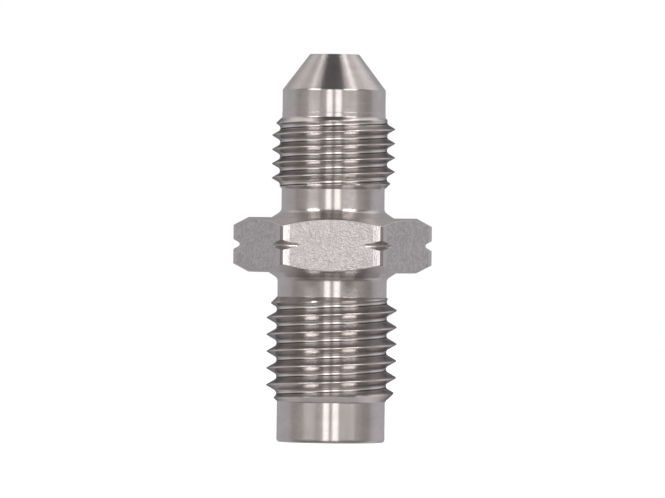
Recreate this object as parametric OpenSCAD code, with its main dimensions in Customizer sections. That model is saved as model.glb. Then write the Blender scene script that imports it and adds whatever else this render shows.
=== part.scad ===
// Straight hose adapter fitting, turned from one piece of hexagon bar.
// It stands on its port end, so that end is at z = 0 and the flare cone points up.
// All sizes are in millimetres and all angles in degrees.

/* [Hexagon] */
// Width across the flats, 13 mm bar a little under size
hex_af = 12.95; // [11.5:0.05:19]
// Height of the hexagon
hex_h = 4.06; // [3:0.02:12]
// How far the corners are turned down
hex_corner_cut = 0.1; // [0.02:0.01:0.3]
// How far inside the flats the end chamfers start
hex_ring_inset = 0.22; // [0.05:0.01:0.8]
// Slope of the end chamfers, from level
hex_chamfer_angle = 28; // [15:1:45]
// Depth of the notch turned into the corners at half height
notch_depth = 0.46; // [0.2:0.02:0.6]
// Angle between the two sides of the notch
notch_angle = 60; // [50:1:100]
// Radius at the bottom of the notch
notch_root_r = 0.18; // [0.05:0.01:0.25]

/* [Flare end] */
// Diameter over the crests of the flare thread, 3/8 inch a little under size
flare_thread_d = 9.13; // [8.8:0.01:10.4]
// Pitch of the flare thread, 24 turns to the inch
flare_pitch = 1.0583; // [0.9:0.0001:1.27]
// Radius of the round root between the flare thread's flanks
flare_root_round = 0.28; // [0.1:0.01:0.3]
// Length of the flare thread with its end chamfers
flare_thread_l = 5.34; // [4:0.01:12]
// Angle about the axis at which the flare thread's groove begins
flare_thread_start = 93; // [0:1:359]
// How far the flare neck lies under the thread's root
flare_neck_under = 0.15; // [0.04:0.005:0.4]
// Length of the neck from the hexagon to the flare thread
flare_neck_l = 2.14; // [1.4:0.02:6]
// Width of the sloping shoulder between the flare neck and the hexagon
flare_shoulder_w = 0.72; // [0.4:0.02:1]
// How far the land above the flare thread lies under the thread's root
land_under = 0.15; // [0.04:0.005:0.4]
// Length of the land
land_l = 2.02; // [0.6:0.02:5]
// Half angle of the flare cone
cone_angle = 37; // [30:0.5:45]
// Diameter of the cone's tip
tip_d = 3.66; // [3.5:0.02:5]
// Radius of the edge between the land and the cone
land_edge_r = 0.2; // [0.05:0.05:0.6]

/* [Port end] */
// Diameter over the crests of the port thread, 10 mm a little under size
port_thread_d = 9.66; // [9.4:0.01:10.4]
// Pitch of the port thread
port_pitch = 1.25; // [1:0.05:1.5]
// Radius of the round root between the port thread's flanks
port_root_round = 0.28; // [0.1:0.01:0.3]
// Length of the port thread with its end chamfers
port_thread_l = 7.8; // [5:0.05:16]
// Angle about the axis at which the port thread's groove begins
port_thread_start = 12; // [0:1:359]
// How far the port neck lies under the thread's root
port_neck_under = 0.03; // [0.01:0.005:0.4]
// Length of the neck from the port thread to the hexagon
port_neck_l = 1.82; // [1.2:0.02:6]
// Width of the sloping shoulder between the port neck and the hexagon
port_shoulder_w = 0.72; // [0.4:0.02:0.9]
// How far the plain nose lies under the thread's root
nose_under = 0.065; // [0.04:0.005:0.4]
// Length of the plain nose
nose_l = 3; // [1.5:0.02:6]
// Radius of the nose's outer edge
nose_edge_r = 0.25; // [0.1:0.05:0.5]

/* [Bore] */
// Diameter of the bore that runs right through
bore_d = 3; // [1.5:0.1:3.3]
// Diameter of the seat's mouth in the port end
seat_mouth_d = 6; // [4.4:0.1:6.4]
// Angle between the two sides of the seat
seat_angle = 90; // [60:5:120]
// Size of the chamfer at the bore's mouth in the tip
tip_chamfer = 0.08; // [0.02:0.01:0.12]

/* [Threads and necks] */
// Angle between the two flanks of a thread
flank_angle = 60; // [50:1:60]
// Share of the pitch that stays flat on the crests
crest_share = 0.06; // [0.04:0.01:0.2]
// Slope of the threads' end chamfers
thread_chamfer_angle = 45; // [30:1:60]
// Slope of the shoulders between the necks and the hexagon
shoulder_angle = 33; // [20:1:50]
// Radius of the fillet between a neck and its shoulder
neck_fillet_r = 0.45; // [0.1:0.05:0.5]
// Steps in one turn of a thread
turn_steps = 48; // [36:12:60]

/* [Hidden] */

steel = [0.65, 0.62, 0.61];

// How far a cutter runs past the surface that it cuts
over = 0.5;
// Steps in a rounded corner of an outline
corner_steps = 6;
// Steps in a full circle, where a mesh is drawn
round_steps = 96;

// Radius at which the two flanks of a thread's groove would meet
function apex_radius(d, pitch) = d / 2 - pitch * (1 - crest_share) / 2 / tan(flank_angle / 2);

// Radius at the bottom of a groove whose root is an arc that touches both flanks
function root_radius(d, pitch, round) =
    apex_radius(d, pitch) + round / sin(flank_angle / 2) - round;

// Height of a cone that crosses the radial width w at the given slope from level
function rise(w, slope) = w * tan(slope);

flare_root_r = root_radius(flare_thread_d, flare_pitch, flare_root_round);
flare_neck_r = flare_root_r - flare_neck_under;
land_r = flare_root_r - land_under;
port_root_r = root_radius(port_thread_d, port_pitch, port_root_round);
port_neck_r = port_root_r - port_neck_under;
nose_r = port_root_r - nose_under;

// Radii of the hexagon: over its turned corners, and of the ring between its chamfers
hex_corner_r = hex_af / 2 / cos(30) - hex_corner_cut;
hex_ring_r = hex_af / 2 - hex_ring_inset;

// Heights of the features, from the port end up
port_thread_z = nose_l;
port_neck_z = port_thread_z + port_thread_l;
hex_z = port_neck_z + port_neck_l;
hex_top_z = hex_z + hex_h;
flare_thread_z = hex_top_z + flare_neck_l;
land_z = flare_thread_z + flare_thread_l;
cone_z = land_z + land_l;
top_z = cone_z + (land_r - tip_d / 2) / tan(cone_angle);

function unit(v) = v / norm(v);

// The corner at b, between a and c, rounded with an arc that both sides touch
function rounded_corner(a, b, c, r) =
    let (
        u = unit(a - b),
        v = unit(c - b),
        half = acos(u * v) / 2,
        centre = b + unit(u + v) * r / sin(half),
        from = b + u * r / tan(half) - centre,
        to = b + v * r / tan(half) - centre,
        start = atan2(from.y, from.x),
        sweep = (atan2(to.y, to.x) - start + 540) % 360 - 180
    )
    [for (i = [0:corner_steps])
        let (t = start + sweep * i / corner_steps)
            centre + r * [cos(t), sin(t)]];

// A closed outline from corners given as [radius, height] or, for one that is
// rounded, [radius, height, radius of the rounding]
function outline(corners) =
    let (n = len(corners), flat = [for (p = corners) [p.x, p.y]])
    [for (i = [0:n - 1])
        each len(corners[i]) == 2
            ? [flat[i]]
            : rounded_corner(flat[(i + n - 1) % n], flat[i], flat[(i + 1) % n], corners[i].z)];

// What the lathe leaves before the threads are cut
module turned_blank() {
    crest_r = [port_thread_d / 2, flare_thread_d / 2];
    mid_z = hex_z + hex_h / 2;
    rotate_extrude($fn = round_steps)
        polygon(outline([
            [0, 0],
            [nose_r, 0, nose_edge_r],
            [nose_r, port_thread_z],
            [crest_r[0], port_thread_z + rise(crest_r[0] - nose_r, thread_chamfer_angle)],
            [crest_r[0], port_neck_z - rise(crest_r[0] - port_neck_r, thread_chamfer_angle)],
            [port_neck_r, port_neck_z],
            [port_neck_r, hex_z - rise(port_shoulder_w, shoulder_angle), neck_fillet_r],
            [port_neck_r + port_shoulder_w, hex_z],
            [port_neck_r + port_shoulder_w, mid_z],
            [flare_neck_r + flare_shoulder_w, mid_z],
            [flare_neck_r + flare_shoulder_w, hex_top_z],
            [flare_neck_r, hex_top_z + rise(flare_shoulder_w, shoulder_angle), neck_fillet_r],
            [flare_neck_r, flare_thread_z],
            [crest_r[1], flare_thread_z + rise(crest_r[1] - flare_neck_r, thread_chamfer_angle)],
            [crest_r[1], land_z - rise(crest_r[1] - land_r, thread_chamfer_angle)],
            [land_r, land_z],
            [land_r, cone_z, land_edge_r],
            [tip_d / 2, top_z],
            [0, top_z]
        ]));
}

// The hexagon, with its corners turned down, its ends chamfered and its corners notched
module hexagon() {
    chamfer_h = rise(hex_corner_r - hex_ring_r, hex_chamfer_angle);
    difference() {
        intersection() {
            translate([0, 0, hex_z])
                cylinder(r = hex_af / 2 / cos(30), h = hex_h, $fn = 6);
            rotate_extrude($fn = round_steps)
                polygon([
                    [0, hex_z],
                    [hex_ring_r, hex_z],
                    [hex_corner_r, hex_z + chamfer_h],
                    [hex_corner_r, hex_top_z - chamfer_h],
                    [hex_ring_r, hex_top_z],
                    [0, hex_top_z]
                ]);
        }
        corner_notch();
    }
}

// The ring that a round-nosed tool clears in passing round the corners
module corner_notch() {
    half = notch_angle / 2;
    tip = notch_root_r / sin(half) - notch_root_r;
    reach = notch_depth + over;
    half_w = (reach + tip) * tan(half);
    translate([0, 0, hex_z + hex_h / 2])
        rotate_extrude($fn = round_steps)
            translate([hex_corner_r - notch_depth, 0])
                polygon(outline([[-tip, 0, notch_root_r], [reach, -half_w], [reach, half_w]]));
}

// The space that a tool clears in cutting a thread: a helical groove with straight flanks
// and a round root, which starts one pitch below the thread and ends one pitch above it.
// Three flats that touch the root's arc stand for it. The groove's mouth lies just outside
// the crests, where neighbouring turns don't meet yet.
module thread_groove(d, pitch, round, z, l, start) {
    half = flank_angle / 2;
    apex_r = apex_radius(d, pitch);
    mouth_r = d / 2 + pitch * crest_share / 4 / tan(half);
    mouth_w = (mouth_r - apex_r) * tan(half);
    centre_r = apex_r + round / sin(half);
    turn = (90 - half) / 2;
    corner = round / cos(turn / 2);
    section = [
        for (k = [-0.5, -1.5]) [centre_r - corner * cos(k * turn), corner * sin(k * turn)],
        [mouth_r, -mouth_w],
        [mouth_r, mouth_w],
        for (k = [1.5, 0.5]) [centre_r - corner * cos(k * turn), corner * sin(k * turn)]
    ];
    n = len(section);
    steps = ceil((l / pitch + 2) * turn_steps);
    points = [
        for (i = [0:steps], p = section)
            let (a = start + i * 360 / turn_steps)
                [p.x * cos(a), p.x * sin(a), z + p.y + pitch * (i / turn_steps - 1)]
    ];
    faces = [
        [for (j = [n - 1:-1:0]) j],
        for (i = [0:steps - 1], j = [0:n - 1])
            let (a = n * i + j, b = n * i + (j + 1) % n)
                [a, b, b + n, a + n],
        [for (j = [0:n - 1]) n * steps + j]
    ];
    polyhedron(points, faces);
}

// The bore, with the conical seat in the port end and a small chamfer at the tip
module bore() {
    seat_slope = tan(seat_angle / 2);
    seat_h = (seat_mouth_d - bore_d) / 2 / seat_slope;
    rotate_extrude($fn = round_steps)
        polygon([
            [0, -over],
            [seat_mouth_d / 2 + over * seat_slope, -over],
            [bore_d / 2, seat_h],
            [bore_d / 2, top_z - tip_chamfer],
            [bore_d / 2 + tip_chamfer + over, top_z + over],
            [0, top_z + over]
        ]);
}

module adapter_body() {
    color(steel)
        difference() {
            union() {
                turned_blank();
                hexagon();
            }
            thread_groove(flare_thread_d, flare_pitch, flare_root_round,
                flare_thread_z, flare_thread_l, flare_thread_start);
            thread_groove(port_thread_d, port_pitch, port_root_round,
                port_thread_z, port_thread_l, port_thread_start);
            bore();
        }
}

adapter_body();
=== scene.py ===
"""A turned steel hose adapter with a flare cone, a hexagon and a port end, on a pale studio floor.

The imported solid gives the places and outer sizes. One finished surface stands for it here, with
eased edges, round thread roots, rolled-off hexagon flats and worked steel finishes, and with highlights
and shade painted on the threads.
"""

import math

import bpy
import numpy as np
from mathutils import Matrix, Vector


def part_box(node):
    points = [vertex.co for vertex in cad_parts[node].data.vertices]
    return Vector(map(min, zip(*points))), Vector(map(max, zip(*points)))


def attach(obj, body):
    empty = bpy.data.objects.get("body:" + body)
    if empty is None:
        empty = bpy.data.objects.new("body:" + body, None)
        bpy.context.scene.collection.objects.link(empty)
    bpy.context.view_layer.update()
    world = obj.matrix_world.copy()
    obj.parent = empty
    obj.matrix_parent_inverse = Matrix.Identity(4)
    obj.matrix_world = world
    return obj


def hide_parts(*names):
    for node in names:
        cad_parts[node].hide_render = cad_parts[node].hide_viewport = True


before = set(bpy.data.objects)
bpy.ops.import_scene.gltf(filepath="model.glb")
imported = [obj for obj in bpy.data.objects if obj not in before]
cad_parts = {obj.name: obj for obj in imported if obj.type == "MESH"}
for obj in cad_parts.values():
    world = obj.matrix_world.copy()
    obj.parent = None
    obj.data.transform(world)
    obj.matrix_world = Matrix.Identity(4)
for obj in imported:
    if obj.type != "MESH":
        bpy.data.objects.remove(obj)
LOWEST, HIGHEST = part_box("adapter_body")
EXTENT = HIGHEST - LOWEST
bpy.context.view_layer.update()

bl_info = {
    "name": "Hose Adapter",
    "version": (1, 0, 0),
    "blender": (4, 5, 0),
    "location": "View3D > Sidebar > Adapter",
    "description": "Builds a turned hose adapter with its threads, finishes and studio",
    "category": "Object",
}

MM = 0.001  # metres in a millimetre
DEGREES = 180 / math.pi  # degrees in a radian


def length(name, description, millimetres):
    """A size in metres, written in millimetres."""
    return bpy.props.FloatProperty(
        name=name, description=description, default=millimetres * MM, unit="LENGTH", precision=5)


def angle(name, description, degrees):
    """An angle in radians, written in degrees."""
    return bpy.props.FloatProperty(
        name=name, description=description, default=math.radians(degrees), unit="ROTATION")


def number(name, description, value, highest=1.0):
    """A plain number from 0 up."""
    return bpy.props.FloatProperty(
        name=name, description=description, default=value, min=0.0, max=highest)


def colour(name, description, value):
    """A colour in scene-linear values."""
    return bpy.props.FloatVectorProperty(
        name=name, description=description, default=value, subtype="COLOR", size=3,
        min=0.0, max=1.0)


# Sizes and colours


class HexagonSizes(bpy.types.PropertyGroup):
    """The hexagon with its turned corners."""

    across: length("Across flats", "Width between two opposite flats", EXTENT.y / MM)
    corner_radius: length("Corner radius", "Radius that the corners are turned to", EXTENT.x / 2 / MM)
    foot: length("Foot", "Height of the hexagon's lower end", 12.62)
    height: length("Height", "Height of the hexagon", 4.06)
    ring_inset: length("Ring inset", "How far inside the flats the end chamfers start", 0.22)
    chamfer: angle("Chamfer", "Slope of the end chamfers from level", 28)
    notch_depth: length("Notch depth", "Depth of the notch in the corners", 0.46)
    notch_angle: angle("Notch angle", "Angle between the sides of the notch", 60)
    notch_round: length("Notch round", "Radius at the bottom of the notch", 0.18)
    roll_start: length("Roll start", "Distance from a flat's middle where it starts to fall", 2.6)
    roll_rate: number("Roll rate", "Slope gained per millimetre beyond the roll's start", 0.055)


class FlareSizes(bpy.types.PropertyGroup):
    """The flare end: neck, thread, land and cone."""

    neck_radius: length("Neck radius", "Radius of the neck above the hexagon", 3.8335)
    shoulder_width: length("Shoulder width", "Width of the sloping shoulder", 0.72)
    thread_foot: length("Thread foot", "Height where the thread's lower chamfer starts", 18.82)
    thread_length: length("Thread length", "Length of the thread with its chamfers", 5.34)
    crest_radius: length("Crest radius", "Radius over the thread's crests", 4.565)
    root_radius: length("Root radius", "Radius at the thread's roots", 3.9835)
    pitch: length("Pitch", "Distance from crest to crest", 1.0583)
    start: angle("Start", "Angle at which the groove begins", 93)
    land_radius: length("Land radius", "Radius of the plain land above the thread", 3.8335)
    land_length: length("Land length", "Length of the land", 2.02)
    step: length("Step", "Width of the fine step that the tool left at the land's foot", 0.014)
    step_height: length("Step height", "Height of that step above the thread", 0.33)
    tip_radius: length("Tip radius", "Radius of the cone's level tip", 1.83)


class PortSizes(bpy.types.PropertyGroup):
    """The port end: nose, thread and neck, and the bore with its seat."""

    nose_radius: length("Nose radius", "Radius of the plain nose", 4.0274)
    nose_edge: length("Nose edge", "Reach of the easing on the nose's outer edge", 0.25)
    thread_foot: length("Thread foot", "Height where the thread's lower chamfer starts", 3)
    thread_length: length("Thread length", "Length of the thread with its chamfers", 7.8)
    crest_radius: length("Crest radius", "Radius over the thread's crests", 4.83)
    root_radius: length("Root radius", "Radius at the thread's roots", 4.0924)
    pitch: length("Pitch", "Distance from crest to crest", 1.25)
    start: angle("Start", "Angle at which the groove begins", 12)
    neck_radius: length("Neck radius", "Radius of the neck below the hexagon", 4.0624)
    shoulder_width: length("Shoulder width", "Width of the sloping shoulder", 0.72)
    bore_radius: length("Bore radius", "Radius of the bore", 1.5)
    seat_radius: length("Seat radius", "Radius of the seat's mouth", 3.0)
    seat_height: length("Seat height", "Height of the conical seat", 1.5)
    tip_chamfer: length("Tip chamfer", "Size of the chamfer at the bore's upper mouth", 0.08)


class EdgeSizes(bpy.types.PropertyGroup):
    """How sharp the edges are."""

    shoulder_slope: angle("Shoulder slope", "Slope of both shoulders from level", 33)
    neck_fillet: length("Neck fillet", "Reach of the hollow between a neck and its shoulder", 0.24)
    fine: length("Fine edge", "Reach of the easing on turned edges", 0.035)
    land_edge: length("Land edge", "Reach of the easing between the land and the cone", 0.06)
    crest_edge: length("Crest edge", "Radius of the easing along the threads' crests", 0.03)
    crest_share: number("Crest share", "Share of the pitch that stays flat on the crests", 0.06)


class Finishes(bpy.types.PropertyGroup):
    """Colours and gloss of the steel."""

    steel: colour("Steel", "Colour of the turned steel", (0.52, 0.483, 0.472))
    # painted shade: the near-black that the threads' painted light falls to in the root's lower corner
    flank: colour("Flank steel", "Colour of the dullest parts of the threads", (0.06, 0.055, 0.054))
    # painted highlight: the colour of the threads' crests and root lines where the painted light is
    # fullest
    crest: colour("Crest steel", "Colour of the threads' burnished crests", (0.78, 0.73, 0.71))
    satin: colour("Satin steel", "Colour of the hexagon's drawn flats", (0.51, 0.48, 0.478))
    worn: colour("Corner steel", "Colour of the roughly turned corners", (0.30, 0.272, 0.268))
    inside: colour("Inside steel", "Colour in the bore", (0.40, 0.37, 0.36))
    turned_roughness: number("Turned roughness", "Roughness of the turned steel", 0.24)
    turned_spread: number("Turned spread", "How far the turning marks stretch a highlight", 0.93)
    thread_roughness: number("Thread roughness", "Roughness of the threads", 0.25)
    satin_roughness: number("Satin roughness", "Roughness of the hexagon's flats", 0.42)


class StudioSizes(bpy.types.PropertyGroup):
    """The camera and the floor."""

    distance: length("Distance", "From the axis to the camera", 550)
    eye_height: length("Eye height", "Height of the camera over the floor", 17)
    aim_height: length("Aim height", "Height on the axis that the camera looks at", 14.36)
    turn: angle("Turn", "How far the camera stands to the right of the front", 0.66)
    roll: angle("Roll", "How far the camera is turned about its view", 0.645)
    focal: number("Focal length", "Focal length of the lens in millimetres", 400.2, 1000.0)
    floor_radius: length("Floor radius", "Radius of the floor", 400)
    floor: colour("Floor", "Colour of the floor", (0.75, 0.75, 0.75))


# Outlines: rows of points, each row one closed ring round the axis

PLAIN_COLUMNS = 7  # columns from the middle of a flat to where the notch starts to cut
NOTCHED_COLUMNS = 5  # columns from there to the end of the flat
CORNER_COLUMNS = (-1.2, -0.6, -0.2, 0.0, 0.2)  # columns by the end of a flat, in degrees from it
ROLL_ROUNDS = 8  # rounds that settle a rolled-off flat
CORNER_EASE = 0.002 * MM  # easing between a flat and a turned corner
EASE_STEPS = 4  # faces across an eased edge
SUPPORT = 0.04 * MM  # distance from an eased edge to the rows that hold its shading


def ring_angles(hexagon):
    """Angles of the columns round the axis, from +X: twelve mirrored runs between the
    middle of a flat and a corner, close together where the flat ends."""
    notch = math.degrees(math.acos(
        hexagon.across / 2 / (hexagon.corner_radius - hexagon.notch_depth)))
    by_corner = corner_band(hexagon) + np.array(CORNER_COLUMNS)
    run = np.concatenate([
        np.linspace(0, notch, PLAIN_COLUMNS + 1)[:-1],
        np.linspace(notch, by_corner[0], NOTCHED_COLUMNS + 1)[:-1],
        by_corner,
    ])
    sector = np.concatenate([run, [30.0], 60 - run[:0:-1]])
    turns = 30 + 60 * np.arange(6)
    return np.sort(np.radians(turns[:, None] + sector[None, :]).ravel() % (2 * math.pi))


def from_flat(theta):
    """Unsigned angle to the middle of the nearest flat, of which two face along Y."""
    return np.abs(theta % (math.pi / 3) - math.pi / 6)


def flat_radius(hexagon, theta):
    """Distance from the axis to a rolled-off flat: y = a - k (x - s)^2 / 2 for x beyond s,
    met by the ray x = y tan(angle), settled by repeating the two in turn."""
    off = from_flat(theta)
    a = hexagon.across / 2
    y = np.full_like(off, a)
    for _ in range(ROLL_ROUNDS):
        beyond = np.maximum(y * np.tan(off) - hexagon.roll_start, 0)
        y = a - hexagon.roll_rate / MM * beyond ** 2 / 2
    return y / np.cos(off)


def corner_band(hexagon):
    """Degrees from a flat's middle to where the turned corner takes over, found by trying
    the last five degrees before the corner in fine steps."""
    trial = np.radians(np.linspace(25, 30, 2001)) + math.pi / 6
    over = flat_radius(hexagon, trial) < hexagon.corner_radius
    return math.degrees(from_flat(trial)[over].max())


def hexagon_radius(hexagon, theta):
    """The hexagon's outline: the smooth minimum of the flat and the turned corner,
    (a + b - sqrt((a - b)^2 + e^2)) / 2."""
    a = flat_radius(hexagon, theta)
    b = np.full_like(a, hexagon.corner_radius)
    return (a + b - np.sqrt((a - b) ** 2 + CORNER_EASE ** 2)) / 2


def notch_radius(hexagon, s):
    """Radius of the notch at the distance s above its middle: an arc, then a straight side
    that touches it."""
    half, r = hexagon.notch_angle / 2, hexagon.notch_round
    deep = hexagon.corner_radius - hexagon.notch_depth
    arc = r - np.sqrt(np.maximum(r ** 2 - s ** 2, 0))
    side = s / math.tan(half) - r * (1 / math.sin(half) - 1)
    return deep + np.where(s < r * math.cos(half), arc, side)


def notch_half_height(hexagon, radius):
    """Where the notch reaches a radius, above its middle: the other way round."""
    half, r = hexagon.notch_angle / 2, hexagon.notch_round
    depth = np.maximum(radius - hexagon.corner_radius + hexagon.notch_depth, 0)
    arc = np.sqrt(np.maximum(2 * r * depth - depth ** 2, 0))
    side = (depth + r * (1 / math.sin(half) - 1)) * math.tan(half)
    return np.where(depth < r * (1 - math.sin(half)), arc, side)


def eased_rows(corners, columns):
    """Rows of a surface whose outline has the given corners, each (radius, height, reach,
    finish). A corner b with a reach becomes the curve (1-t)^2 p + 2t(1-t) b + t^2 q between
    the points p and q that lie at that reach on its two sides."""
    points = [np.stack([np.broadcast_to(c[0], columns), np.broadcast_to(c[1], columns)], 1)
              for c in corners]
    rows, finishes = [], []

    def add(row, finish):
        rows.append(row)
        finishes.append(finish)

    for i, (_, _, reach, finish) in enumerate(corners):
        here = points[i]
        if reach == 0 or i in (0, len(corners) - 1):
            first = last = here
            add(here, finish)
        else:
            back, ahead = points[i - 1] - here, points[i + 1] - here
            p = here + back / np.linalg.norm(back, axis=1, keepdims=True) * reach
            q = here + ahead / np.linalg.norm(ahead, axis=1, keepdims=True) * reach
            for t in np.linspace(0, 1, EASE_STEPS + 1):
                add((1 - t) ** 2 * p + 2 * t * (1 - t) * here + t ** 2 * q, finish)
            last = q
        if i + 1 < len(corners):
            reach_next = corners[i + 1][2] if i + 2 < len(corners) else 0
            span = points[i + 1] - last
            room = np.linalg.norm(span, axis=1, keepdims=True)
            clear = room - reach_next
            if clear.min() > 3 * SUPPORT:
                way = span / room
                add(last + way * SUPPORT, finish)
                add(last + way * (clear - SUPPORT), finish)
    return np.array(rows), finishes


# Threads

FLANK = math.sqrt(3)  # radius that a 60 degree thread's flank gains for each height along it
ROOT_ROWS, FLANK_ROWS = 6, 4  # rows across half a root and across a flank
EDGE_ROWS = (0.25, 0.6, 1.0)  # rows on a crest's edge, as shares of its width
RUN_OUT = 0.06 * MM  # width of the easing where a groove runs out through a cone
END_SPARE = 0.004 * MM  # how far under the roots the end rings of a thread lie
MERGE = 0.008 * MM  # rows that come this close to an end ring are merged with it
FULL_PAINTED_LIGHT = 0.85  # full painted light: a painted highlight on the crests, and the level given to the plain surfaces
CREST_EDGE, BESIDE_CREST = 0.01 * MM, 0.06 * MM  # how far short of a crest a flank's painted light ends

# Painted light across the groove, a painted highlight in the root's middle and painted shade in its
# lower corner: (millimetres above its middle, level)
GROOVE_PAINTED_LIGHT = [
    (-0.20, 0.62), (-0.16, 0.55), (-0.12, 0.0), (-0.08, 0.0), (-0.04, 0.7), (0.0, 1.0),
    (0.04, 0.9), (0.08, 0.75), (0.12, 0.85), (0.20, 1.0),
]
LOWER_PAINTED_LIGHT, UPPER_PAINTED_LIGHT = 0.42, 1.0  # painted light beside a crest, on the flank under and over a root: the flank under a root is painted darker


class Thread:
    """One thread: its section, and the blank that it is cut in."""

    def __init__(self, sizes, edges, low_radius, high_radius):
        self.pitch, self.start = sizes.pitch, sizes.start
        self.crest, self.root = sizes.crest_radius, sizes.root_radius
        self.foot, self.top = sizes.thread_foot, sizes.thread_foot + sizes.thread_length
        self.low_radius, self.high_radius = low_radius, high_radius
        self.corner = self.pitch * (1 - edges.crest_share) / 2
        self.apex = self.crest - self.corner * FLANK
        self.root_round, self.edge_round = self.root - self.apex, edges.crest_edge
        self.root_end = self.root_round * FLANK / 2
        self.edge_reach = self.edge_round / FLANK

    def along(self, theta, z):
        """Distance along the axis from the middle of the nearest groove, positive above it:
        z - foot - pitch (angle - start) / turn, brought within half a pitch."""
        s = z - self.foot - self.pitch * (theta - self.start) / (2 * math.pi)
        return (s + self.pitch / 2) % self.pitch - self.pitch / 2

    def blank(self, z):
        """Radius before the thread is cut: two 45 degree cones and the crest cylinder."""
        return np.minimum(self.crest, np.minimum(self.low_radius + z - self.foot,
                                                 self.high_radius + self.top - z))

    def groove(self, s):
        """Radius of the groove at the distance s from its middle. The flanks are
        r = apex + sqrt(3) s, the root is an arc that touches both flanks, and the crest's
        edge is an arc of the edge radius."""
        s = np.abs(s)
        flank = self.apex + FLANK * s
        root = self.apex + 2 * self.root_round - np.sqrt(
            np.maximum(self.root_round ** 2 - s ** 2, 0))
        edge = self.crest - self.edge_round + np.sqrt(
            np.maximum(self.edge_round ** 2 - (s - self.corner - self.edge_reach) ** 2, 0))
        r = np.where(s < self.root_end, root, flank)
        r = np.where(s > self.corner - self.edge_reach / 2, edge, r)
        return np.where(s > self.corner + self.edge_reach, self.crest, r)

    def radius(self, theta, z):
        """Radius of the finished thread: the lesser of the blank and the groove, eased by
        (a + b - sqrt((a - b)^2 + e^2)) / 2 where the groove runs out through a cone."""
        blank, groove = self.blank(z), self.groove(self.along(theta, z))
        ease = np.clip(np.minimum((self.crest - blank) / 2, blank - self.root), 0, RUN_OUT)
        return (blank + groove - np.sqrt((blank - groove) ** 2 + ease ** 2)) / 2

    def polish(self, theta, z):
        """The painted light on the thread: the blank and the crests get the full painted highlight, the
        root's middle a painted highlight and its lower corner painted shade, and the flank under a root
        is painted darker than the one over it."""
        s = self.along(theta, z)
        crest, beside = self.corner - CREST_EDGE, self.corner - BESIDE_CREST
        places, levels = np.array(GROOVE_PAINTED_LIGHT).T
        cut = np.interp(s, [-crest, -beside, *places * MM, beside, crest],
                        [FULL_PAINTED_LIGHT, LOWER_PAINTED_LIGHT, *levels, UPPER_PAINTED_LIGHT, FULL_PAINTED_LIGHT])
        blank, groove = self.blank(z), self.groove(s)
        uncut = np.where(blank < self.crest,
                         np.clip((groove - blank) / RUN_OUT + 0.5, 0, 1), blank < groove)
        return cut + (FULL_PAINTED_LIGHT - cut) * uncut

    def rows(self):
        """Where the rows lie across one pitch, closest in the root and on the crest's edges."""
        edge = self.corner - self.edge_reach / 2
        half = np.concatenate([
            self.root_end * np.linspace(0, 1, ROOT_ROWS + 1)[1:],
            np.linspace(self.root_end, edge, FLANK_ROWS + 1)[1:],
            edge + 1.5 * self.edge_reach * np.array(EDGE_ROWS),
        ])
        return np.concatenate([[0.0], half, self.pitch - half[::-1]])

    def ends(self):
        """Heights of the end rings, where the blank's cones are just under the roots."""
        ring = self.root - END_SPARE
        return self.foot + ring - self.low_radius, self.top - (ring - self.high_radius)


# The surface

SHARP = math.radians(38)  # an edge that turns further than this is shaded sharp
TURNED, THREAD, SATIN, CORNER, INSIDE = range(5)


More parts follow.
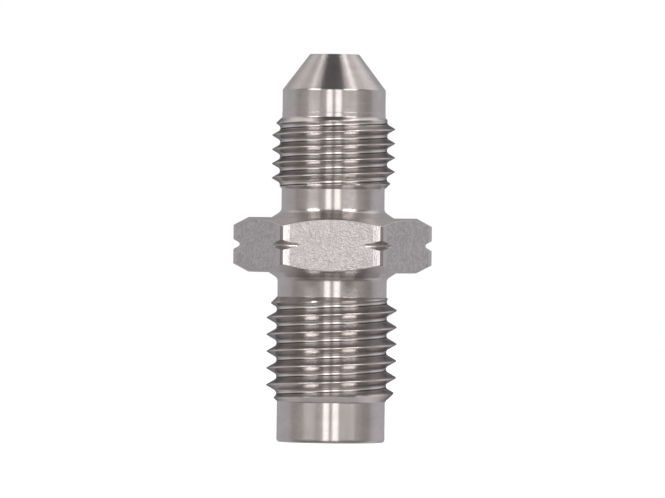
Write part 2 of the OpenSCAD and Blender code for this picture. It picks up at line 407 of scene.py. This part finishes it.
class Skin:
    """A closed surface gathered ring by ring: points as (angle, radius, height, painted light),
    with faces and a finish for each face."""

    def __init__(self, theta):
        self.theta = theta
        self.points, self.count = [], 0
        self.faces, self.finishes = [], []

    def add_points(self, theta, radius, z, polish):
        """Puts points in, with the painted light of each, and returns their numbers."""
        self.points.append(np.stack([theta, radius, z, polish], 1))
        numbers = self.count + np.arange(len(z))
        self.count += len(z)
        return numbers

    def add_rows(self, rows, finishes):
        """Puts whole rings in, joins each to the next, and returns the rings' numbers."""
        theta = np.tile(self.theta, len(rows))
        radius, z = rows.reshape(-1, 2).T
        numbers = self.add_points(theta, radius, z, np.full(len(theta), FULL_PAINTED_LIGHT))
        numbers = numbers.reshape(len(rows), -1)
        self.join(numbers, np.array(finishes[:-1])[:, None])
        return numbers

    def join(self, numbers, finish):
        """Faces between rings of the same columns."""
        closed = np.concatenate([numbers, numbers[:, :1]], 1)
        self.add_grid(closed, finish)

    def add_grid(self, numbers, finish):
        """Faces of a grid of point numbers. A face that has lost a side is a triangle, and
        one that has lost two is left out."""
        a, b = numbers[:-1, :-1], numbers[:-1, 1:]
        d, c = numbers[1:, :-1], numbers[1:, 1:]
        finish = np.broadcast_to(finish, a.shape)
        whole = (a != d) & (b != c)
        left, right = (a == d) & (b != c), (a != d) & (b == c)
        for mask, sides in ((whole, (a, b, c, d)), (left, (a, b, c)), (right, (a, b, d))):
            if mask.any():
                self.faces.append(np.stack([side[mask] for side in sides], 1))
                self.finishes.append(finish[mask])

    def add_thread(self, thread, lower, upper):
        """A thread between two rings. Its rows climb with the helix, z = row + pitch times the
        share of a turn, with two turns to spare at each end. A row that passes an end is
        held at that end's ring."""
        low_z, high_z = thread.ends()
        rows = thread.rows()
        first = math.floor((low_z - thread.foot) / thread.pitch) - 2
        last = math.ceil((high_z - thread.foot) / thread.pitch) + 2
        turns = np.arange(first, last + 1)
        row_z = thread.foot + (turns[:, None] * thread.pitch + rows[None, :]).ravel()
        climb = thread.pitch * (self.theta - thread.start) / (2 * math.pi)
        z = row_z[:, None] + climb[None, :]
        inside = (z > low_z + MERGE) & (z < high_z - MERGE)
        numbers = np.where(z > (low_z + high_z) / 2, upper[None, :], lower[None, :])
        theta, z = np.broadcast_to(self.theta, z.shape)[inside], z[inside]
        numbers[inside] = self.add_points(
            theta, thread.radius(theta, z), z, thread.polish(theta, z))
        per_turn = len(rows)
        grid = np.concatenate([numbers[:-per_turn], numbers[per_turn:, :1]], 1)
        self.add_grid(grid, THREAD)

    def mesh(self, name):
        """The surface as a mesh in metres."""
        theta, radius, z, polish = np.concatenate(self.points).T
        vertices = np.stack([radius * np.cos(theta), radius * np.sin(theta), z], 1)
        faces = [face for part in self.faces for face in part.tolist()]
        mesh = bpy.data.meshes.new(name)
        mesh.from_pydata(vertices.tolist(), [], faces)
        mesh.polygons.foreach_set("material_index", np.concatenate(self.finishes).astype(np.int32))
        mesh.polygons.foreach_set("use_smooth", np.ones(len(faces), bool))
        # each point's painted light, which the thread steel turns into painted highlights and shade
        mesh.attributes.new("polish", "FLOAT", "POINT").data.foreach_set(
            "value", polish.astype(np.float32))
        mesh.set_sharp_from_angle(angle=SHARP)
        if mesh.validate(verbose=False):
            raise RuntimeError(f"the surface {name} had faults")
        return mesh


# The adapter: each outline is a list of corners (radius, height, reach, finish)

SEAM = 0.3 * MM  # height in the seat where the first ring and the last one meet
STEP_EASE = 0.006 * MM  # reach of the easing on the fine step under the land
NOTCH_ROWS = 17  # rows across the notch
UNCUT_HALF = 0.1 * MM  # half the height that those rows take where the notch doesn't cut


def nose_outline(port, edges, thread):
    """From the seat round the nose to the port thread's lower end."""
    low, _ = thread.ends()
    return [
        (port.seat_radius - SEAM, SEAM, 0, INSIDE),
        (port.seat_radius, 0, edges.fine, TURNED),
        (port.nose_radius, 0, port.nose_edge, TURNED),
        (port.nose_radius, port.thread_foot, edges.fine, TURNED),
        (thread.blank(low), low, 0, TURNED),
    ]


def notch_outline(hexagon, radius):
    """The middle of the hexagon's wall, where the notch cuts the corners."""
    middle = hexagon.foot + hexagon.height / 2
    half = np.maximum(notch_half_height(hexagon, radius), UNCUT_HALF)
    rows = [(np.minimum(radius, notch_radius(hexagon, np.abs(half * k))), middle + half * k)
            for k in np.linspace(-1, 1, NOTCH_ROWS)]
    return [(*row, 0, TURNED) for row in rows[:-1]] + [(*rows[-1], 0, SATIN)]


def waist_outline(hexagon, flare, port, edges, port_thread, flare_thread, theta):
    """From the port thread's upper end over the hexagon to the flare thread's lower end."""
    _, port_high = port_thread.ends()
    flare_low, _ = flare_thread.ends()
    foot, top = hexagon.foot, hexagon.foot + hexagon.height
    radius = hexagon_radius(hexagon, theta)
    ring = hexagon.across / 2 - hexagon.ring_inset
    rise = (radius - ring) * math.tan(hexagon.chamfer)
    drop = math.tan(edges.shoulder_slope)
    return [
        (port_thread.blank(port_high), port_high, 0, TURNED),
        (port.neck_radius, port_thread.top, edges.fine / 2, TURNED),
        (port.neck_radius, foot - port.shoulder_width * drop, edges.neck_fillet, TURNED),
        (port.neck_radius + port.shoulder_width, foot, edges.fine, TURNED),
        (ring, foot, edges.fine, TURNED),
        (radius, foot + rise, edges.fine, SATIN),
        *notch_outline(hexagon, radius),
        (radius, top - rise, edges.fine, TURNED),
        (ring, top, edges.fine, TURNED),
        (flare.neck_radius + flare.shoulder_width, top, edges.fine, TURNED),
        (flare.neck_radius, top + flare.shoulder_width * drop, edges.neck_fillet, TURNED),
        (flare.neck_radius, flare.thread_foot, edges.fine, TURNED),
        (flare_thread.blank(flare_low), flare_low, 0, TURNED),
    ]


def crown_outline(flare, port, edges, thread):
    """From the flare thread's upper end over the land, the cone and the tip, and down the
    bore to the seat."""
    _, high = thread.ends()
    top = HIGHEST.z
    step_z = thread.top + flare.step_height
    return [
        (thread.blank(high), high, 0, TURNED),
        (flare.land_radius + flare.step, thread.top - flare.step, edges.fine, TURNED),
        (flare.land_radius + flare.step, step_z - flare.step, STEP_EASE, TURNED),
        (flare.land_radius, step_z, STEP_EASE, TURNED),
        (flare.land_radius, thread.top + flare.land_length, edges.land_edge, TURNED),
        (flare.tip_radius, top, edges.fine, TURNED),
        (port.bore_radius + port.tip_chamfer, top, edges.fine / 2, INSIDE),
        (port.bore_radius, top - port.tip_chamfer, edges.fine / 2, INSIDE),
        (port.bore_radius, port.seat_height, edges.fine, INSIDE),
        (port.seat_radius - SEAM, SEAM, 0, INSIDE),
    ]


def adapter_skin(hexagon, flare, port, edges):
    """The whole adapter: rings from the seat round the outside to the tip, and back down
    the bore, with the two threads between them. The crown's last row is the nose's first,
    so it is joined and not put in again."""
    theta = ring_angles(hexagon)
    port_thread = Thread(port, edges, port.nose_radius, port.neck_radius)
    flare_thread = Thread(flare, edges, flare.neck_radius, flare.land_radius)
    outlines = (
        nose_outline(port, edges, port_thread),
        waist_outline(hexagon, flare, port, edges, port_thread, flare_thread, theta),
        crown_outline(flare, port, edges, flare_thread),
    )
    nose, waist, (crown, finishes) = (eased_rows(outline, len(theta)) for outline in outlines)

    skin = Skin(theta)
    nose_rings = skin.add_rows(*nose)
    waist_rings = skin.add_rows(*waist)
    crown_rings = skin.add_rows(crown[:-1], finishes[:-1])
    skin.join(np.stack([crown_rings[-1], nose_rings[0]]), INSIDE)
    skin.add_thread(port_thread, nose_rings[-1], waist_rings[0])
    skin.add_thread(flare_thread, waist_rings[-1], crown_rings[0])
    return skin


# Shader maths


class Value:
    """A socket that Python expressions can use: each operation adds a Math node."""

    def __init__(self, graph, socket):
        self.graph, self.socket = graph, socket

    def math(self, operation, *values):
        return self.graph.node("ShaderNodeMath", {"operation": operation},
                               dict(enumerate(values)))["Value"]

    def __add__(self, other):
        return self.math("ADD", self, other)

    def __radd__(self, other):
        return self.math("ADD", other, self)

    def __sub__(self, other):
        return self.math("SUBTRACT", self, other)

    def __rsub__(self, other):
        return self.math("SUBTRACT", other, self)

    def __mul__(self, other):
        return self.math("MULTIPLY", self, other)

    def __rmul__(self, other):
        return self.math("MULTIPLY", other, self)

    def __truediv__(self, other):
        return self.math("DIVIDE", self, other)

    def __rtruediv__(self, other):
        return self.math("DIVIDE", other, self)

    def __pow__(self, other):
        return self.math("POWER", self, other)

    def __rpow__(self, other):
        return self.math("POWER", other, self)

    def __neg__(self):
        return self.math("MULTIPLY", self, -1.0)

    def __abs__(self):
        return self.math("ABSOLUTE", self)

    def most(self, other):
        """The greater of this value and another."""
        return self.math("MAXIMUM", self, other)

    def ease(self, start, end):
        """Rises smoothly from 0 to 1 while the value goes from start to end."""
        return self.graph.node(
            "ShaderNodeMapRange", {"interpolation_type": "SMOOTHSTEP"},
            {"Value": self, "From Min": start, "From Max": end})["Result"]

    def window(self, start, end, soft):
        """1 between start and end, falling to 0 over the soft width centred on each."""
        half = soft / 2
        return self.ease(start - half, start + half) * (1 - self.ease(end - half, end + half))


class Node:
    """A node whose outputs are read by name."""

    def __init__(self, graph, node):
        self.graph, self.node = graph, node

    def __getitem__(self, name):
        return Value(self.graph, self.node.outputs[name])


class Graph:
    """A node tree that is filled from Python."""

    def __init__(self, tree):
        self.tree = tree
        tree.nodes.clear()

    def node(self, kind, settings=None, inputs=None):
        """Adds a node: its settings first, then the values or links of its sockets."""
        made = self.tree.nodes.new(kind)
        for name, value in (settings or {}).items():
            if name == "stops":
                self.fill_ramp(made.color_ramp, value)
            else:
                setattr(made, name, value)
        for name, value in (inputs or {}).items():
            if isinstance(value, Value):
                self.tree.links.new(value.socket, made.inputs[name])
            else:
                made.inputs[name].default_value = value
        return Node(self, made)

    @staticmethod
    def fill_ramp(ramp, stops):
        """Puts (position, colour) stops in a colour ramp."""
        while len(ramp.elements) < len(stops):
            ramp.elements.new(1.0)
        for element, (place, shade) in zip(ramp.elements, stops):
            element.position = place
            element.color = (*shade, 1.0)

    def mix(self, factor, first, second):
        """A colour between two colours."""
        mixed = self.node("ShaderNodeMix", {"data_type": "RGBA"}, {0: factor, 6: first, 7: second})
        return Value(self, mixed.node.outputs[2])

    def stretched(self, vector, by):
        """A vector times another, axis by axis."""
        return self.node("ShaderNodeVectorMath", {"operation": "MULTIPLY"},
                         {0: vector, 1: by})["Vector"]

    def noise(self, vector, scale, detail, roughness, w=None):
        """Smooth noise about 0.5."""
        inputs = {"Vector": vector, "Scale": scale, "Detail": detail, "Roughness": roughness}
        if w is None:
            return self.node("ShaderNodeTexNoise", None, inputs)["Fac"]
        return self.node("ShaderNodeTexNoise", {"noise_dimensions": "4D"},
                         {**inputs, "W": w})["Fac"]

    def place(self):
        """Object coordinates, whole and as x, y and z."""
        whole = self.node("ShaderNodeTexCoord")["Object"]
        parts = self.node("ShaderNodeSeparateXYZ", None, {0: whole})
        return whole, parts["X"], parts["Y"], parts["Z"]

    def finish(self, kind, socket, output):
        """Links a shader to the tree's output."""
        end = self.node(kind)
        self.tree.links.new(socket.socket, end.node.inputs[output])


# Finishes: a pattern gives the tint, the gloss, the relief and how deep the relief is


def shades(tint, low=0.9, high=1.08):
    """A tint's dark and light shade."""
    return tuple(low * c for c in tint), tuple(high * c for c in tint)


def steel_material(name, tints, pattern, roughness, spread, rim=1.0):
    """Steel that varies between two tints as the pattern says. The spread stretches its
    highlights along the axis, and the rim dims it where it is seen at a glancing angle."""
    material = bpy.data.materials.new(name)
    material.use_nodes = True
    graph = Graph(material.node_tree)
    shade, gloss, height, relief = pattern(graph)
    low, high = tints
    bump = graph.node("ShaderNodeBump", None,
                      {"Strength": 1.0, "Distance": relief, "Height": height})["Normal"]
    shader = graph.node("ShaderNodeBsdfPrincipled", None, {
        "Base Color": graph.mix(shade, (*low, 1.0), (*high, 1.0)),
        "Metallic": 1.0,
        "Specular Tint": (rim, rim, rim, 1.0),
        "Roughness": gloss * roughness,
        "Anisotropic": spread,
        "Anisotropic Rotation": 0.25,
        "Normal": bump,
    })["BSDF"]
    graph.finish("ShaderNodeOutputMaterial", shader, "Surface")
    return material


def tool_rings(graph, whole, radius, around, across, roughness):
    """Noise with few cells a metre round the axis and many along it and outwards."""
    return graph.noise(graph.stretched(whole, (around, around, across)), 1.0, 2.0, roughness,
                       w=radius * across)


def turning_marks(graph):
    """Fine rings left by the tool, clouded by handling."""
    whole, x, y, _ = graph.place()
    radius = (x * x + y * y) ** 0.5
    fine = tool_rings(graph, whole, radius, 120.0, 9000.0, 0.6)
    broad = tool_rings(graph, whole, radius, 300.0, 1400.0, 0.5)
    cloud = graph.noise(whole, 420.0, 3.0, 0.55)
    grain = graph.noise(whole, 5500.0, 2.0, 0.6)
    shade = (broad * 0.35 + cloud * 0.3 + grain * 0.35).ease(0.3, 0.7)
    gloss = 0.86 + 0.28 * cloud
    return shade, gloss, fine + grain * 4, 0.00045 * MM


def thread_marks(graph):
    """The turning marks again, with each point's tint set by its painted light: painted highlights and
    painted shade on the threads.
    """
    shade, gloss, height, relief = turning_marks(graph)
    polish = graph.node("ShaderNodeAttribute", {"attribute_name": "polish"})["Fac"]
    # almost all of the tint is painted light, between the dark flank colour and the bright crest colour
    return polish * 0.96 + shade * 0.04, gloss * (1.15 - 0.3 * polish), height, relief


def satin_grain(graph):
    """The fine pitted grain of drawn and tumbled flats, worn smooth beside the corners."""
    whole, x, y, _ = graph.place()
    grain = graph.noise(whole, 7500.0, 2.0, 0.6)
    cells = graph.node("ShaderNodeTexVoronoi", {"feature": "F1"},
                       {"Vector": whole, "Scale": 7000.0})
    pits = cells["Distance"]
    flecks = graph.node("ShaderNodeRGBToBW", None, {"Color": cells["Color"]})["Val"]
    cloud = graph.noise(whole, 2600.0, 2.0, 0.5)
    turn = y.math("ARCTAN2", y, x) * DEGREES
    off_flat = 30 - turn.math("PINGPONG", turn, 30.0)
    edge = off_flat.ease(24.9, 26.0)
    shade = (flecks * 0.5 + cloud * 0.5).ease(0.3, 0.7) * (1 - edge) + edge * 0.5
    gloss = (0.8 + 0.4 * cloud) * (1 - 0.64 * edge)
    height = (grain + pits + cloud * 0.5 - 1.2) * (1 - 0.9 * edge)
    return shade, gloss, height, 0.028 * MM


# Studio light by direction, in degrees: azimuth 0 is towards the camera and grows to its right

WARM, COOL = (1.02, 0.99, 0.965), (1.0, 0.99, 1.04)

# Brightness of the walls round the horizon: (azimuth, level, tint)
WALL = [
    (-180, 0.34, COOL), (-170, 0.42, COOL), (-158, 0.50, COOL), (-140, 0.59, COOL),
    (-120, 0.63, COOL), (-108, 0.63, COOL), (-98, 0.60, COOL), (-91, 0.50, WARM),
    (-85, 0.48, WARM), (-72, 0.55, WARM), (-60, 0.60, WARM), (-50, 0.56, WARM),
    (-38, 0.48, WARM), (-30, 0.56, WARM), (-22, 0.80, WARM), (0, 0.70, WARM),
    (22, 0.74, WARM), (30, 0.40, WARM), (40, 0.42, WARM), (52, 0.64, WARM),
    (64, 0.58, WARM), (76, 0.46, WARM), (90, 0.42, WARM), (98, 0.58, COOL),
    (108, 0.67, COOL), (120, 0.70, COOL), (140, 0.63, COOL), (158, 0.51, COOL),
    (170, 0.42, COOL), (180, 0.34, COOL),
]
CEILING_LEFT, CEILING_RIGHT = (0.97, 0.945, 0.93, 1.0), (1.04, 1.015, 1.0, 1.0)
BELOW_LEFT, BELOW_RIGHT = (0.60, 0.59, 0.60, 1.0), (0.86, 0.85, 0.88, 1.0)
WALL_TOP, WALL_FOOT = (20, 45), (14, 45)  # where the walls give way, over and under the horizon

# Dark parts: colours, and the degrees between which each begins, or (from, to, soft width)
BAND_SHADE, PANEL_SHADE = (0.2, 0.19, 0.195, 1.0), (0.42, 0.41, 0.41, 1.0)
SLOT_SHADE, GAP_SHADE = (0.10, 0.095, 0.10, 1.0), (0.105, 0.097, 0.104, 1.0)
BAND_ENDS, BAND_OVER, BAND_UNDER = (85, 112), (25, 50, 13), (23, 64, 14)
PANEL_STARTS, PANEL_HEIGHTS = (146, 158), (26, 66, 12)
SLOT_STARTS, SLOT_HEIGHTS = (159, 167), (47, 82, 8)
GAP_LEFT, GAP_RIGHT, GAP_FOOT = (-31, -12), (7, 26), (44, 60)
GAP_LEFT_LEAN, GAP_RIGHT_LEAN = -41, 25.6

# Lamps: brightness, and (from, to, soft width) in degrees across and up
BOX, BOX_LEFT, BOX_RIGHT, BOX_HEIGHTS = 7.0, (-62, -34, 8), (26, 56, 8), (22, 45, 8)
STRIP, STRIP_LEFT, STRIP_RIGHT, STRIP_HEIGHTS = 1.7, (-15.5, -3.3, 2.5), (4.0, 17.0, 2.5), (-22, 22, 10)
RIBBON, RIBBON_ACROSS, RIBBON_HEIGHTS = 0.44, (21, 30, 6), (50, 80, 10)
SIDE, SIDE_ACROSS, SIDE_HEIGHTS = 0.2, (95, 140, 20), (26, 60, 14)


class Tent:
    """A soft tent of light round the part: its brightness in every direction. Left and right
    are the degrees from the top towards +X, leaning as the gap's two edges do."""

    def __init__(self, graph):
        self.graph = graph
        _, self.x, y, z = graph.place()
        self.turn = self.x.math("ARCTAN2", self.x, -y) * DEGREES
        self.aside = abs(self.turn)
        self.height = z.math("ARCSINE", z) * DEGREES
        tilt = self.x.math("ARCTAN2", self.x, z.most(0.001)) * DEGREES
        self.left, self.right = tilt + y * GAP_LEFT_LEAN, tilt + y * GAP_RIGHT_LEAN

    def walls(self):
        """The walls, the bright ceiling over them and the dimmer part below, both brighter
        on the right."""
        stops = [((azimuth + 180) / 360, tuple(level * c for c in tint))
                 for azimuth, level, tint in WALL]
        wall = self.graph.node("ShaderNodeValToRGB", {"stops": stops},
                               {"Fac": self.turn / 360 + 0.5})["Color"]
        ceiling = self.graph.mix(self.x.ease(-0.2, 0.2), CEILING_LEFT, CEILING_RIGHT)
        below = self.graph.mix(self.x.ease(0.2, 0.7), BELOW_LEFT, BELOW_RIGHT)
        light = self.graph.mix(self.height.ease(*WALL_TOP), wall, ceiling)
        return self.graph.mix((-self.height).ease(*WALL_FOOT), light, below)

    def shaded(self, light):
        """The light with its dark parts: bands over and under the horizon in front, a panel
        high at the back with a darker slot over it, and a gap in the ceiling that the cone
        shows."""
        aside, height = self.aside, self.height
        bands = height.window(*BAND_OVER) + (-height).window(*BAND_UNDER)
        gap = self.left.ease(*GAP_LEFT) * (1 - self.right.ease(*GAP_RIGHT))
        for mask, shade in (
            ((1 - aside.ease(*BAND_ENDS)) * bands, BAND_SHADE),
            (aside.ease(*PANEL_STARTS) * height.window(*PANEL_HEIGHTS), PANEL_SHADE),
            (aside.ease(*SLOT_STARTS) * height.window(*SLOT_HEIGHTS), SLOT_SHADE),
            (gap * height.ease(*GAP_FOOT), GAP_SHADE),
        ):
            light = self.graph.mix(mask, light, shade)
        return light

    def lamps(self):
        """Two boxes and two upright strips in front, a ribbon on the ceiling, and a soft lamp
        on the right."""
        turn, height = self.turn, self.height
        boxes = (turn.window(*BOX_LEFT) + turn.window(*BOX_RIGHT)) * height.window(*BOX_HEIGHTS)
        strips = ((turn.window(*STRIP_LEFT) + turn.window(*STRIP_RIGHT))
                  * height.window(*STRIP_HEIGHTS))
        ribbon = self.right.window(*RIBBON_ACROSS) * height.window(*RIBBON_HEIGHTS)
        side = turn.window(*SIDE_ACROSS) * height.window(*SIDE_HEIGHTS)
        return boxes * BOX + strips * STRIP + ribbon * RIBBON + side * SIDE


# Operators

WALL_MIDDLE = 0.6 * MM  # half height of the band in which the notch meets the hexagon's wall
WALL_DEPTH = 0.006 * MM  # a face less deep than this still belongs to the wall


class ADAPTER_OT_body(bpy.types.Operator):
    """Makes the turned adapter with its threads, hexagon and bore"""

    bl_idname = "adapter.body"
    bl_label = "Adapter Body"

    def execute(self, context):
        scene = context.scene
        skin = adapter_skin(scene.adapter_hexagon, scene.adapter_flare, scene.adapter_port,
                            scene.adapter_edges)
        mesh = skin.mesh("adapter")
        self.mark_wall(mesh, scene.adapter_hexagon)
        for material in self.make_steels(scene.adapter_finishes):
            mesh.materials.append(material)
        piece = bpy.data.objects.new("adapter", mesh)
        scene.collection.objects.link(piece)
        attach(piece, "root")
        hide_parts("adapter_body")
        return {"FINISHED"}

    @staticmethod
    def mark_wall(mesh, hexagon):
        """Gives the hexagon's wall its finish beside the notch too, and the turned corners
        theirs."""
        count = len(mesh.polygons)
        centres, finishes = np.empty(count * 3), np.empty(count, np.int32)
        mesh.polygons.foreach_get("center", centres)
        mesh.polygons.foreach_get("material_index", finishes)
        x, y, z = centres.reshape(-1, 3).T
        theta = np.arctan2(y, x)
        off = np.degrees(from_flat(theta))
        near_middle = np.abs(z - hexagon.foot - hexagon.height / 2) < WALL_MIDDLE
        uncut = np.hypot(x, y) > hexagon_radius(hexagon, theta) - WALL_DEPTH
        finishes[near_middle & uncut] = SATIN
        finishes[(finishes == SATIN) & (off > corner_band(hexagon))] = CORNER
        mesh.polygons.foreach_set("material_index", finishes)

    @staticmethod
    def make_steels(finishes):
        """The materials, in the order of the finishes' numbers."""
        return [
            steel_material("turned_steel", shades(finishes.steel), turning_marks,
                           roughness=finishes.turned_roughness, spread=finishes.turned_spread),
            # the thread steel's tint is painted light, from the painted shade colour to the painted
            # highlight colour
            steel_material("thread_steel", (finishes.flank, finishes.crest), thread_marks,
                           roughness=finishes.thread_roughness, spread=0.9, rim=0.4),
            steel_material("satin_steel", shades(finishes.satin, 0.85, 1.12), satin_grain,
                           roughness=finishes.satin_roughness, spread=0.0),
            steel_material("corner_steel", shades(finishes.worn), turning_marks,
                           roughness=0.42, spread=0.5),
            steel_material("bore_steel", shades(finishes.inside), turning_marks,
                           roughness=0.4, spread=0.5),
        ]


class ADAPTER_OT_stage(bpy.types.Operator):
    """Makes the floor, the soft studio light and the camera"""

    bl_idname = "adapter.stage"
    bl_label = "Adapter Stage"

    def execute(self, context):
        scene = context.scene
        sizes = scene.adapter_studio
        self.make_floor(scene, sizes)
        self.make_light(scene)
        self.make_camera(scene, sizes)
        return {"FINISHED"}

    def make_floor(self, scene, sizes):
        """A round floor that keeps a soft shadow. Polished metal looks past it at the tent."""
        mesh = self.floor_mesh(sizes.floor_radius)
        mesh.materials.append(self.floor_material(sizes.floor))
        floor = bpy.data.objects.new("floor", mesh)
        scene.collection.objects.link(floor)
        floor.visible_glossy = floor.visible_transmission = floor.visible_shadow = False

    @staticmethod
    def floor_mesh(radius, sides=96):
        """A disc of rings round its middle: x = r cos(angle), y = r sin(angle)."""
        turn = np.linspace(0, 2 * math.pi, sides + 1)[:-1]
        rings = radius * np.array([0.1, 0.4, 1.0])
        x, y = np.outer(rings, np.cos(turn)).ravel(), np.outer(rings, np.sin(turn)).ravel()
        points = np.concatenate([np.zeros((1, 3)), np.stack([x, y, np.zeros_like(x)], 1)])
        here = np.arange(sides)
        after = (here + 1) % sides
        faces = np.stack([np.zeros_like(here), 1 + here, 1 + after], 1).tolist()
        for inner in 1 + sides * np.arange(len(rings) - 1):
            outer = inner + sides
            faces += np.stack([inner + here, outer + here, outer + after, inner + after], 1).tolist()
        mesh = bpy.data.meshes.new("floor")
        mesh.from_pydata(points.tolist(), [], faces)
        return mesh

    @staticmethod
    def floor_material(shade):
        """Pale paper, lifted to white for the camera alone."""
        material = bpy.data.materials.new("pale_floor")
        material.use_nodes = True
        graph = Graph(material.node_tree)
        seen = graph.node("ShaderNodeLightPath")["Is Camera Ray"]
        glow = graph.mix(seen, (0.0, 0.0, 0.0, 1.0), (0.5, 0.5, 0.5, 1.0))
        paper = graph.node("ShaderNodeBsdfPrincipled", None, {
            "Base Color": (*shade, 1.0), "Roughness": 0.9, "Specular IOR Level": 0.0,
            "Emission Color": glow, "Emission Strength": 1.0})["BSDF"]
        graph.finish("ShaderNodeOutputMaterial", paper, "Surface")
        return material

    @staticmethod
    def make_light(scene):
        """The tent of light. Camera rays see plain white."""
        world = bpy.data.worlds.new("studio")
        scene.world = world
        world.use_nodes = True
        graph = Graph(world.node_tree)
        tent = Tent(graph)
        light = graph.node("ShaderNodeVectorMath", {"operation": "ADD"},
                           {0: tent.shaded(tent.walls()), 1: tent.lamps()})["Vector"]
        seen = graph.node("ShaderNodeLightPath")["Is Camera Ray"]
        background = graph.node("ShaderNodeBackground", None, {
            "Color": graph.mix(seen, light, (1.0, 1.0, 1.0, 1.0)), "Strength": 1.0})["Background"]
        graph.finish("ShaderNodeOutputWorld", background, "Surface")

    @staticmethod
    def make_camera(scene, sizes):
        """A long lens in front of the part, aimed a little down and rolled a little."""
        data = bpy.data.cameras.new("camera")
        data.lens = sizes.focal
        data.sensor_width = 36.0
        camera = bpy.data.objects.new("camera", data)
        scene.collection.objects.link(camera)
        eye = Vector((sizes.distance * math.sin(sizes.turn), -sizes.distance * math.cos(sizes.turn),
                      sizes.eye_height))
        back = (eye - Vector((0, 0, sizes.aim_height))).normalized()
        right = Vector((0, 0, 1)).cross(back).normalized()
        up = back.cross(right)
        right, up = (right * math.cos(sizes.roll) + up * math.sin(sizes.roll),
                     up * math.cos(sizes.roll) - right * math.sin(sizes.roll))
        camera.matrix_world = Matrix.Translation(eye) @ Matrix((right, up, back)).transposed().to_4x4()
        scene.camera = camera
        scene.view_settings.view_transform = "Standard"


class ADAPTER_PT_panel(bpy.types.Panel):
    """Lists the sizes, the finishes and the operators"""

    bl_label = "Hose Adapter"
    bl_idname = "ADAPTER_PT_panel"
    bl_space_type = "VIEW_3D"
    bl_region_type = "UI"
    bl_category = "Adapter"

    def draw(self, context):
        for name, (_, title) in GROUPS.items():
            box = self.layout.box()
            box.label(text=title)
            group = getattr(context.scene, name)
            for key in group.__annotations__:
                box.prop(group, key)
        for operator in OPERATORS:
            self.layout.operator(operator.bl_idname)


GROUPS = {
    "adapter_hexagon": (HexagonSizes, "Hexagon"),
    "adapter_flare": (FlareSizes, "Flare end"),
    "adapter_port": (PortSizes, "Port end"),
    "adapter_edges": (EdgeSizes, "Edges"),
    "adapter_finishes": (Finishes, "Finishes"),
    "adapter_studio": (StudioSizes, "Studio"),
}
OPERATORS = (ADAPTER_OT_body, ADAPTER_OT_stage)


def register():
    for name, (group, _) in GROUPS.items():
        bpy.utils.register_class(group)
        setattr(bpy.types.Scene, name, bpy.props.PointerProperty(type=group))
    for kind in (*OPERATORS, ADAPTER_PT_panel):
        bpy.utils.register_class(kind)


def unregister():
    for kind in (ADAPTER_PT_panel, *reversed(OPERATORS)):
        bpy.utils.unregister_class(kind)
    for name, (group, _) in reversed(GROUPS.items()):
        delattr(bpy.types.Scene, name)
        bpy.utils.unregister_class(group)


def main():
    register()
    bpy.ops.adapter.body()
    bpy.ops.adapter.stage()


if __name__ == "__main__":
    main()
